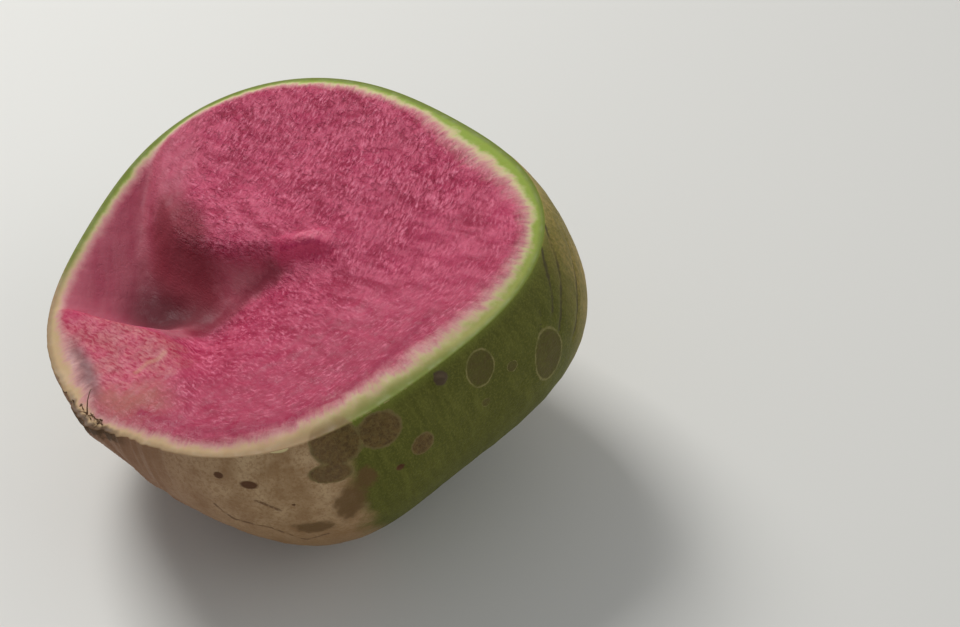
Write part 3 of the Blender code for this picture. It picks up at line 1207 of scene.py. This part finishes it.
    def band_colour(self, under: object) -> tuple[Socket, Socket]:
        """Colours the pale band inside the rim, and the worn edge.

        Args:
            under: the colour of the flesh inside the band.

        Returns:
            The colour, and the share of flesh in it.
        """
        spokes = self.scaled(self.stored("polar", "Vector"), self.spokes)
        fuzz = self.product(self.sway(*self.fuzz_sway, spokes),
                            self.math("MULTIPLY_ADD", self.stored("wall"), self.wall_calm, 1.0))
        sway = self.sway(*self.band_sway)
        band = self.moved("band", sway, 1.0)
        frayed = self.math("ADD", band, fuzz)
        green = self.stored("green")
        colour = self.mix(green, self.cream, self.green)
        colour = self.mix(self.product(self.share(band, self.pale_fade), green), colour, self.pale)
        colour = self.coat(colour, self.fuzz, frayed, self.fuzz_fade)
        flesh = self.share(frayed, self.band_fade)
        colour = self.mix(flesh, colour, under)
        skin = self.coat(self.skin_cream, self.skin_green, green, self.green_fade)
        skin = self.coat(skin, self.cork, "patch", self.cork_fade)
        over = self.moved("over", sway, self.over_sway)
        colour = self.coat(colour, skin, over, self.over_fade)
        outermost = self.share(self.moved("rim_mm", sway, self.crust_sway), self.crust_fade)
        crust = self.product(self.share("root_turn", self.root_fade), outermost)
        return self.mix(crust, colour, self.crust), flesh

    def line_colour(self, under: object) -> Socket:
        """Draws the ring, painted shade along the valley's crease, and the lip with painted light
        along it and on its nose.

        Args:
            under: the colour that it lies on.

        Returns:
            The colour.
        """
        sway = self.sway(*self.line_sway)
        ring = self.math("ABSOLUTE", self.moved("ring_mm", sway, 1.0))
        colour = under
        for fade in self.ring_fades:
            colour = self.coat(colour, self.ring, ring, fade)
        # Painted shade along the valley's crease
        crease = self.moved("crease_shade_mm", sway, 1.0)
        colour = self.coat(colour, self.crease, crease, self.crease_shade_fade)
        lip = self.moved("lip_mm", sway, self.lip_sway)
        # Painted light along the lip, over the shade of its front slope
        colour = self.coat(colour, self.lip_painted_light, lip, self.lip_light_fade)
        # Painted light: bright pink on the nose's top, over the shade of the lip's front
        nose = self.product(self.share("nose", self.nose_light_fade), self.uneven(*self.nose_uneven))
        return self.coat(self.mix(nose, colour, self.lip), self.lip_line, lip, self.lip_fade)


@dataclass(frozen=True)
class SkinFinish(Finish):
    """The root's skin: cream at the root side, green at the crown, with corky marks and painted
    light on the green just under the rim.
    """

    name: str = "skin"
    green: Colour = (0.085, 0.088, 0.008)
    # Painted light: a lighter green just under the rim
    green_light: Colour = (0.205, 0.205, 0.035)
    green_rim_light: Colour = (0.19, 0.225, 0.030)
    cream: Colour = (0.53, 0.365, 0.205)
    cream_tan: Colour = (0.28, 0.155, 0.064)
    root: Colour = (0.27, 0.130, 0.075)
    cork: Colour = (0.095, 0.050, 0.017)
    cork_light: Colour = (0.165, 0.098, 0.030)
    crown: Colour = (0.54, 0.37, 0.12)
    crust: Colour = (0.10, 0.052, 0.022)
    fissure: Colour = (0.07, 0.055, 0.022)
    scar: Colour = (0.27, 0.23, 0.085)
    scar_inside: Colour = (0.095, 0.070, 0.018)

    # The ground
    streaks: tuple = (Noise(1.6, 5.0, 0.7), (50.0, 50.0, 0.18), Fade(0.40, 0.76, 0.4))
    specks: tuple = (Noise(0.42, 3.0, 0.7), Fade(0.46, 0.66, 0.42))
    # Painted light: how far under the rim, in mm, the green is lightened
    rim_light_fade: Fade = Fade(3.4, 0.0)
    broad: tuple = (Noise(7.0, 4.0, 0.6), Fade(0.35, 0.68, 0.8))
    speckle: tuple = (Noise(0.7, 3.0, 0.7), Fade(0.46, 0.62, 0.55))
    low_fade: Fade = Fade(8.0, 30.0, 0.65)
    root_fade: Fade = Fade(46.0, 3.0, 0.85)
    green_sway: tuple = (Noise(5.0, 5.0, 0.6), 0.45)
    green_fade: Fade = Fade(0.15, 0.75)
    crust_noise: Noise = Noise(1.5, 4.0, 0.7)
    crust_ragged: float = 8.0
    crust_fade: Fade = Fade(8.0, 5.0)
    crust_turn: Fade = Fade(12.0, 7.0)

    # The crown
    ring_noise: Noise = Noise(7.0, 3.0)
    ring_ragged: float = 7.0
    rings: tuple = (Noise(1.3, 4.0, 0.7), Fade(0.34, 0.66, 0.90, 0.50))
    grain: tuple = (Noise(0.7, 3.0, 0.65), Fade(0.38, 0.62, 1.0, 0.55))
    blotches: tuple = (Noise(9.0, 3.0), Fade(0.36, 0.62, 1.0, 0.60))
    crown_fade: Fade = Fade(42.0, 26.0)
    stub_noise: Noise = Noise(1.6, 4.0, 0.65)
    stub_ragged: float = 6.0
    stub_fade: Fade = Fade(10.0, 7.0, 0.8)
    fissure_noise: Noise = Noise(1.5, 3.0)
    fissure_ragged: float = 0.8
    fissure_fade: Fade = Fade(0.95, 0.50, 0.85)

    # The marks
    ragged: tuple = (Noise(1.4, 3.0, 0.6), 0.3)
    mottled: tuple = (Noise(1.0, 5.0, 0.75), Fade(0.36, 0.66))
    crackle: tuple = ((1.0, 0.5), (0.9, 0.12), 0.15)
    scar_ragged: float = 0.30
    scar_fade: Fade = Fade(1.0, 0.90, 0.85)
    scar_ring: tuple = (Fade(0.93, 1.0), Fade(1.09, 1.02))
    scar_uneven: tuple = (Noise(2.0, 2.0), Fade(0.36, 0.60, 0.8, 0.3))
    patch_ragged: float = 0.5
    patch_fade: Fade = Fade(1.08, 0.94, 0.9)
    patch_ring: tuple = (Fade(0.84, 0.95), Fade(1.08, 1.0))
    patch_outline: float = 0.28
    first_coats: tuple = (
        Coat("stain", (0.14, 0.075, 0.024), Fade(1.2, 0.6, 0.85), 2.0),
        Coat("line_mm", (0.11, 0.045, 0.016), Fade(0.50, 0.15, 0.75), 1.0))
    last_coats: tuple = (
        Coat("spot", (0.11, 0.045, 0.016), Fade(1.15, 0.75)),
        Coat("knob", (0.085, 0.058, 0.030), Fade(1.15, 0.8), 1.0),
        Coat("hole", (0.11, 0.045, 0.016), Fade(1.2, 0.9)),
        Coat("chip", (0.66, 0.55, 0.28), Fade(1.1, 0.9)))

    # The gloss and the relief
    roughness: float = 0.60
    fine: Noise = Noise(0.5, 3.0, 0.6)
    coarse: Noise = Noise(2.2)
    relief_mm: float = 0.16
    levels: tuple = (("Specular IOR Level", 0.20), ("Subsurface Weight", 0.05),
                     ("Subsurface Radius", (1.0, 0.8, 0.3)), ("Subsurface Scale", 0.001))

    def dress(self) -> bpy.types.Material:
        """Builds the finish of the skin.

        Returns:
            Its material.
        """
        colour = self.marks_colour(self.crown_colour(self.ground_colour()))
        self.surface(colour, self.roughness, self.levels)
        self.relief(self.math("ADD", self.cloud(self.fine), self.cloud(self.coarse)),
                    self.relief_mm)
        return self.material

    def uneven(self, pattern: Noise, fade: Fade) -> Socket:
        """Gives the smooth share of a noise pattern."""
        return self.share(self.cloud(pattern), fade)

    def ground_colour(self) -> Socket:
        """Colours the skin without its marks.

        Returns:
            The colour.
        """
        pattern, stretch, fade = self.streaks
        streaks = self.cloud(pattern, self.scaled(self.stored("polar", "Vector"), stretch))
        green = self.coat(self.green, self.green_light, streaks, fade)
        green = self.mix(self.uneven(*self.specks), green, self.green_light)
        # Painted light: the green just under the rim is lighter
        green = self.coat(green, self.green_rim_light, "down_mm", self.rim_light_fade)
        cream = self.mix(self.uneven(*self.broad), self.cream, self.cream_tan)
        cream = self.mix(self.uneven(*self.speckle), cream, self.cream_tan)
        cream = self.coat(cream, self.cream_tan, "down_mm", self.low_fade)
        cream = self.coat(cream, self.root, "root_turn", self.root_fade)
        share = self.moved("green", self.sway(*self.green_sway), 1.0)
        colour = self.coat(cream, green, share, self.green_fade)
        ragged = self.moved("down_mm", self.cloud(self.crust_noise), self.crust_ragged)
        crust = self.product(self.share(ragged, self.crust_fade),
                             self.share("root_turn", self.crust_turn))
        return self.mix(crust, colour, self.crust)

    def crown_colour(self, under: object) -> Socket:
        """Colours the striated corky skin round the crown, with its growth rings.

        Args:
            under: the colour that it lies on.

        Returns:
            The colour.
        """
        threads = self.node("ShaderNodeCombineXYZ")
        self.feed(threads.inputs[0],
                  self.moved("crown_mm", self.cloud(self.ring_noise), self.ring_ragged))
        pattern, fade = self.rings
        rings = self.share(self.cloud(pattern, threads.outputs[0]), fade)
        share = self.product(rings, self.share("crown_mm", self.crown_fade),
                             self.uneven(*self.grain), self.uneven(*self.blotches))
        colour = self.mix(share, under, self.crown)
        stub = self.moved("crown_mm", self.cloud(self.stub_noise), self.stub_ragged)
        colour = self.coat(colour, self.cork, stub, self.stub_fade)
        line = self.moved("fissure_mm", self.cloud(self.fissure_noise), self.fissure_ragged)
        return self.coat(colour, self.fissure, line, self.fissure_fade)

    def ring_share(self, value: object, fades: tuple[Fade, Fade]) -> Socket:
        """Gives the share of an outline between its inner and outer fades."""
        return self.product(*(self.share(value, fade) for fade in fades))

    def marks_colour(self, under: object) -> Socket:
        """Colours the scars, corky patches, spots, stain and chips.

        Args:
            under: the colour that it lies on.

        Returns:
            The colour.
        """
        ragged = self.sway(*self.ragged)
        mottled = self.uneven(*self.mottled)
        scar = self.moved("scar", ragged, self.scar_ragged)
        inside = self.product(self.share(scar, self.scar_fade),
                              self.math("MULTIPLY_ADD", mottled, 0.5, 0.5))
        colour = self.mix(inside, under, self.scar_inside)
        ring = self.product(self.ring_share(scar, self.scar_ring),
                            self.uneven(*self.scar_uneven))
        colour = self.mix(ring, colour, self.scar)
        colour = self.coated(colour, self.first_coats, ragged)
        warp, cell, strength = self.crackle
        crackle = self.creases(self.warped(self.place, warp), *cell)
        cork = self.mix(mottled, self.cork, self.cork_light)
        cork = self.mix(self.product(crackle, strength), cork, self.scar)
        patch = self.moved("patch", ragged, self.patch_ragged)
        colour = self.coat(colour, cork, patch, self.patch_fade)
        outline = self.product(self.ring_share(patch, self.patch_ring), self.patch_outline)
        colour = self.mix(outline, colour, self.scar)
        return self.coated(colour, self.last_coats, ragged)

    def coated(self, under: object, coats: tuple[Coat, ...], ragged: Socket) -> Socket:
        """Lays coats over a colour in order, each moved by its own amount of a noise.

        Args:
            under: the colour that it lies on.
            coats: the coats in order.
            ragged: the noise.

        Returns:
            The colour.
        """
        for measure, colour, fade, amount in coats:
            under = self.coat(under, colour, self.moved(measure, ragged, amount), fade)
        return under


@dataclass(frozen=True)
class PlainFinish(Finish):
    """One even colour, for the dry brown fibres of the broken root and for the floor."""

    colour: Colour
    roughness: float

    def dress(self) -> bpy.types.Material:
        """Builds the finish."""
        self.surface(self.colour, self.roughness)
        return self.material


def deselect() -> None:
    """Leaves nothing selected and edit mode closed."""
    if bpy.context.object and bpy.context.object.mode != "OBJECT":
        bpy.ops.object.mode_set(mode="OBJECT")
    bpy.ops.object.select_all(action="DESELECT")


@dataclass
class RadishHalf:
    """The whole half root as one closed mesh of fine cells."""

    cells: int = 217
    merge_distance: float = 1e-6
    face: CutFace = field(default_factory=CutFace)
    skin: Skin = field(default_factory=Skin)
    flesh_finish: FleshFinish = field(default_factory=FleshFinish)
    skin_finish: SkinFinish = field(default_factory=SkinFinish)

    def disc_places(self, sheet: bpy.types.Object) -> tuple[Array, Array]:
        """Turns a square grid's places into shares of a radius and angles.

        Args:
            sheet: the flat grid, from -1 to 1 both ways.

        Returns:
            The share of the radius and the angle of each place.
        """
        flat = np.empty(len(sheet.data.vertices) * 3)
        sheet.data.vertices.foreach_get("co", flat)
        x, y = flat.reshape(-1, 3)[:, :2].T
        wide = np.abs(x) > np.abs(y)
        long, short = np.where(wide, x, y), np.where(wide, y, x)
        lean = math.pi / 4.0 * short / np.where(long == 0.0, 1.0, long)
        across = np.where(x > 0.0, 0.0, math.pi) + lean
        up = np.where(y > 0.0, math.pi / 2.0, 1.5 * math.pi) - lean
        return np.abs(long), np.where(wide, across, up)

    def sheet(self, side: CutFace | Skin, other: CutFace | Skin,
              finish: Finish) -> bpy.types.Object:
        """Lays a grid over one side of the half and stores what the finish reads.

        Args:
            side: the side whose form it takes.
            other: the side that it meets, whose measures are stored too, for the seam.
            finish: the finish that it is dressed in.

        Returns:
            The laid sheet.
        """
        deselect()
        bpy.ops.mesh.primitive_grid_add(x_subdivisions=self.cells, y_subdivisions=self.cells,
                                        size=2.0, location=(0.0, 0.0, 0.0))
        made = bpy.context.object
        points = side.points(*self.disc_places(made))
        own = side.fields(points)
        turn = np.arctan2(points[:, 1], points[:, 0])
        depth = own["rim_mm"] if side is self.face else -own["down_mm"]
        for name, values in {**other.fields(points), **own}.items():
            stored = made.data.attributes.new(name, "FLOAT", "POINT")
            stored.data.foreach_set("value", values.astype(np.float32))
        polar = np.column_stack((np.cos(turn), np.sin(turn), depth))
        stored = made.data.attributes.new("polar", "FLOAT_VECTOR", "POINT")
        stored.data.foreach_set("vector", polar.astype(np.float32).ravel())
        world = to_world(points)
        world[:, 2] = np.maximum(world[:, 2], 0.0)
        made.data.vertices.foreach_set("co", world.ravel())
        made.data.update()
        made.data.materials.append(finish.dress())
        return made

    def build(self) -> bpy.types.Object:
        """Makes the half: its two sides, joined along the rim into one closed mesh.

        Returns:
            The finished half.
        """
        face = self.sheet(self.face, self.skin, self.flesh_finish)
        skin = self.sheet(self.skin, self.face, self.skin_finish)
        deselect()
        for sheet in (skin, face):
            sheet.select_set(True)
            bpy.context.view_layer.objects.active = sheet
        bpy.ops.object.join()
        bpy.ops.object.mode_set(mode="EDIT")
        bpy.ops.mesh.select_all(action="SELECT")
        bpy.ops.mesh.remove_doubles(threshold=self.merge_distance)
        bpy.ops.mesh.normals_make_consistent(inside=False)
        bpy.ops.object.mode_set(mode="OBJECT")
        bpy.ops.object.shade_smooth()
        made = bpy.context.object
        made.name = made.data.name = "radish"
        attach(made, "root")
        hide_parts("radish_half")
        log.info("%s: %d faces", made.name, len(made.data.polygons))
        return made


@dataclass
class RootFibres:
    """Dry fibres left standing where the thin root broke off."""

    brown: Colour = (0.16, 0.085, 0.04)
    roughness: float = 0.7
    sides: int = 5
    steps: int = 6
    radius: float = 0.00022
    hair_share: float = 0.8
    taper: float = 0.8
    length: float = 0.0022
    bending: float = 0.45
    sunk: float = -0.25
    starts: tuple = (
        (-43.3, -28.2, 39.2), (-41.3, -30.4, 39.2), (-39.7, -31.9, 39.4), (-38.2, -33.9, 39.6),
        (-37.0, -35.5, 39.6), (-35.5, -36.3, 40.0), (-34.6, -37.2, 40.0), (-40.4, -31.2, 38.6),
        (-36.3, -35.9, 39.4), (-38.9, -32.8, 39.2), (-35.2, -36.6, 40.2), (-35.8, -36.0, 40.1),
        (-34.9, -36.3, 40.3), (-35.5, -36.9, 39.8), (-36.4, -35.3, 40.0), (-36.9, -34.9, 40.1))
    hair: tuple = ((-37.9, -34.4, 39.8), (-37.8, -34.0, 41.0), (-37.6, -33.4, 42.4),
                   (-37.2, -32.8, 43.6), (-36.9, -32.4, 44.3), (-36.5, -32.4, 44.5))

    def path(self, number: int, start: Point) -> list[Vector]:
        """Gives one fibre's places, which differ in length and bend from fibre to fibre.

        Args:
            number: the fibre's number.
            start: where it leaves the root, in mm.

        Returns:
            Its places.
        """
        begin = Vector(start) * MM
        away = Vector((-0.35, -0.25, 0.30 + 0.75 * math.sin(2.3 * number)))
        bend = Vector((math.sin(1.7 * number), math.cos(2.9 * number), 0.4))
        return [begin + (away * share + bend * self.bending * share * share) * self.length
                * (0.7 + 0.3 * math.sin(4.1 * number))
                for share in np.linspace(self.sunk, 1.0, self.steps)]

    def strand(self, path: list[Vector], radius: float) -> bpy.types.Object:
        """Draws one tapered strand.

        Args:
            path: its places from the root to its tip.
            radius: its radius at the root.

        Returns:
            The strand.
        """
        deselect()
        bpy.ops.mesh.primitive_circle_add(vertices=self.sides, radius=radius, fill_type="NGON",
                                          location=path[0])
        bpy.ops.object.mode_set(mode="EDIT")
        bpy.ops.mesh.select_all(action="SELECT")
        for start, end in zip(path, path[1:]):
            bpy.ops.mesh.extrude_region_move(
                TRANSFORM_OT_translate={"value": tuple(end - start)})
            bpy.ops.transform.resize(value=(self.taper,) * 3, center_override=tuple(end))
        bpy.ops.mesh.select_all(action="SELECT")
        bpy.ops.mesh.normals_make_consistent(inside=False)
        bpy.ops.object.mode_set(mode="OBJECT")
        return bpy.context.object

    def build(self) -> bpy.types.Object:
        """Makes the fibres and the one long hair.

        Returns:
            All of them as one piece.
        """
        strands = [self.strand([Vector(place) * MM for place in self.hair],
                               self.radius * self.hair_share)]
        for number, start in enumerate(self.starts):
            strands.append(self.strand(self.path(number, start), self.radius))
        deselect()
        for strand in strands:
            strand.select_set(True)
        bpy.context.view_layer.objects.active = strands[0]
        bpy.ops.object.join()
        bpy.ops.object.transform_apply(location=True, rotation=True, scale=True)
        bpy.ops.object.shade_smooth()
        made = bpy.context.object
        made.name = made.data.name = "root_fibres"
        made.data.materials.append(PlainFinish("fibre", self.brown, self.roughness).dress())
        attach(made, "root")
        log.info("%s: %d faces", made.name, len(made.data.polygons))
        return made


@dataclass
class Studio:
    """The pale floor, the soft light and the camera."""

    floor_size: float = 3.0
    floor_colour: Colour = (0.68, 0.67, 0.63)
    floor_roughness: float = 0.6
    lamps: tuple = (((-0.35, 0.45, 0.75), 0.35, 6.4), ((0.75, -0.10, 0.45), 0.7, 1.3))
    light_aim: Point = (0.0, 0.0, 0.04)
    sky_colour: Colour = (0.90, 0.92, 0.95)
    sky_strength: float = 0.38
    camera_from_face: Point = (0.039107, -0.239569, 0.206581)
    camera_down: float = 43.2718
    lens: float = 60.0
    sensor: float = 36.0

    def floor(self) -> None:
        """Lays the floor."""
        deselect()
        bpy.ops.mesh.primitive_plane_add(size=self.floor_size)
        made = bpy.context.object
        made.name = "floor"
        finish = PlainFinish("floor", self.floor_colour, self.floor_roughness)
        made.data.materials.append(finish.dress())

    def light(self) -> None:
        """Sets the key light, the side light and the sky."""
        for place, size, power in self.lamps:
            bpy.ops.object.light_add(type="AREA", location=place)
            lamp = bpy.context.object
            lamp.data.size = size
            lamp.data.energy = power
            aim = Vector(self.light_aim) - Vector(place)
            lamp.rotation_euler = aim.to_track_quat("-Z", "Y").to_euler()
        world = bpy.data.worlds.new("sky")
        world.use_nodes = True
        sky = world.node_tree.nodes["Background"]
        sky.inputs["Color"].default_value = (*self.sky_colour, 1.0)
        sky.inputs["Strength"].default_value = self.sky_strength
        bpy.context.scene.world = world

    def camera(self) -> None:
        """Places the camera at the height of an eye over a table's edge."""
        place = Vector(FACE_CENTRE) + Vector(self.camera_from_face)
        bpy.ops.object.camera_add(location=place, rotation=(
            math.radians(90.0 - self.camera_down), 0.0, 0.0))
        camera = bpy.context.object
        camera.data.lens = self.lens
        camera.data.sensor_width = self.sensor
        bpy.context.scene.camera = camera
        bpy.context.scene.view_settings.view_transform = "Standard"

    def build(self) -> None:
        """Sets up the whole studio."""
        self.floor()
        self.light()
        self.camera()
        log.info("studio is set")


def main() -> None:
    """Builds the half, its fibres and the studio round it."""
    logging.basicConfig(level=logging.INFO, format="%(name)s %(message)s")
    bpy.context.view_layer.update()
    RadishHalf().build()
    RootFibres().build()
    Studio().build()


if __name__ == "__main__":
    main()
